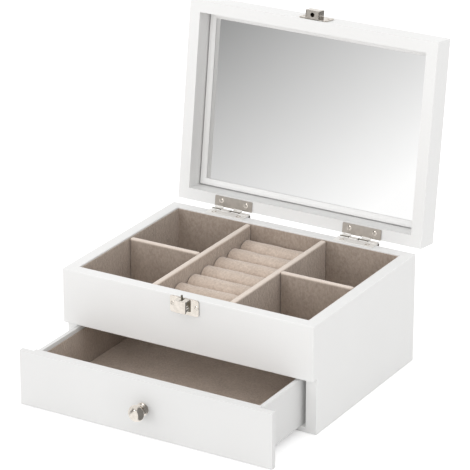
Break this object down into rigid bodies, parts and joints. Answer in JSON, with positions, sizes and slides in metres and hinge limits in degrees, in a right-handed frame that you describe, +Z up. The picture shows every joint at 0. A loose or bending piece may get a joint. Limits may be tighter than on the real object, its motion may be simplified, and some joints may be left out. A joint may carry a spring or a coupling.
{
  "type": "jewelry box",
  "caption": "Painted wooden jewelry box with a mirrored hinged lid, a lined tray with dividers and ring rolls, a front catch and a lined drawer with a round knob.",
  "frame": {"origin": "centre of the underside of the case, on the surface it stands on", "axes": "+X along the box's width (to the right, seen from the front), +Y from the drawer to the hinges, +Z up"},
  "size_m": [0.231, 0.299, 0.2734],
  "materials": {
    "paint": "satin white paint over wood board",
    "velvet": "taupe velvet over card",
    "velvet_pad": "taupe velvet over foam",
    "nickel": "polished nickel plate",
    "mirror": "silvered flat glass"
  },
  "bodies": {
    "case": {"back_panel": "paint", "bottom_board": "paint", "catch_pin": "nickel", "catch_plate": "nickel", "catch_plate_screw_1": "nickel", "catch_plate_screw_2": "nickel", "divider_cross_left": "velvet", "divider_cross_right": "velvet", "divider_long_left": "velvet", "divider_long_right": "velvet", "front_panel": "paint", "hinge_left_box_leaf": "nickel", "hinge_left_box_screw_1": "nickel", "hinge_left_box_screw_2": "nickel", "hinge_left_pin": "nickel", "hinge_right_box_leaf": "nickel", "hinge_right_box_screw_1": "nickel", "hinge_right_box_screw_2": "nickel", "hinge_right_pin": "nickel", "ring_pad_base": "velvet_pad", "ring_roll_1": "velvet_pad", "ring_roll_2": "velvet_pad", "ring_roll_3": "velvet_pad", "ring_roll_4": "velvet_pad", "ring_roll_5": "velvet_pad", "ring_roll_6": "velvet_pad", "ring_roll_7": "velvet_pad", "side_left": "paint", "side_right": "paint", "tray_floor": "paint", "tray_floor_lining": "velvet", "tray_wall_lining": "velvet"},
    "lid": {"catch_keeper": "nickel", "catch_keeper_screw_1": "nickel", "catch_keeper_screw_2": "nickel", "hinge_left_lid_leaf": "nickel", "hinge_left_lid_screw_1": "nickel", "hinge_left_lid_screw_2": "nickel", "hinge_right_lid_leaf": "nickel", "hinge_right_lid_screw_1": "nickel", "hinge_right_lid_screw_2": "nickel", "lid_panel": "paint", "lid_rail_back": "paint", "lid_rail_front": "paint", "lid_rail_left": "paint", "lid_rail_right": "paint", "mirror": "mirror", "mirror_bead": "paint"},
    "drawer": {"drawer_back": "paint", "drawer_bottom": "paint", "drawer_box_front": "paint", "drawer_floor_lining": "velvet", "drawer_front": "paint", "drawer_side_left": "paint", "drawer_side_right": "paint", "drawer_wall_lining": "velvet", "knob_base": "nickel", "knob_head": "nickel", "knob_screw": "nickel"},
    "catch_lever": {"catch_lever": "nickel"}
  },
  "joints": [
    {"name": "lid_hinge", "type": "hinge", "parent": "case", "child": "lid", "pos_m": [0, 0.08905, 0.0928], "axis": [1, 0, 0], "range_deg": [0, 97.3]},
    {"name": "drawer_slide", "type": "slide", "parent": "case", "child": "drawer", "axis": [0, 1, 0], "range_m": [-0.06, 0.0629]},
    {"name": "catch_pivot", "type": "hinge", "parent": "case", "child": "catch_lever", "pos_m": [0, -0.08915, 0.0859], "axis": [-1, 0, 0], "range_deg": [-40, 0], "stiffness_Nm_per_rad": 0.01}
  ]
}
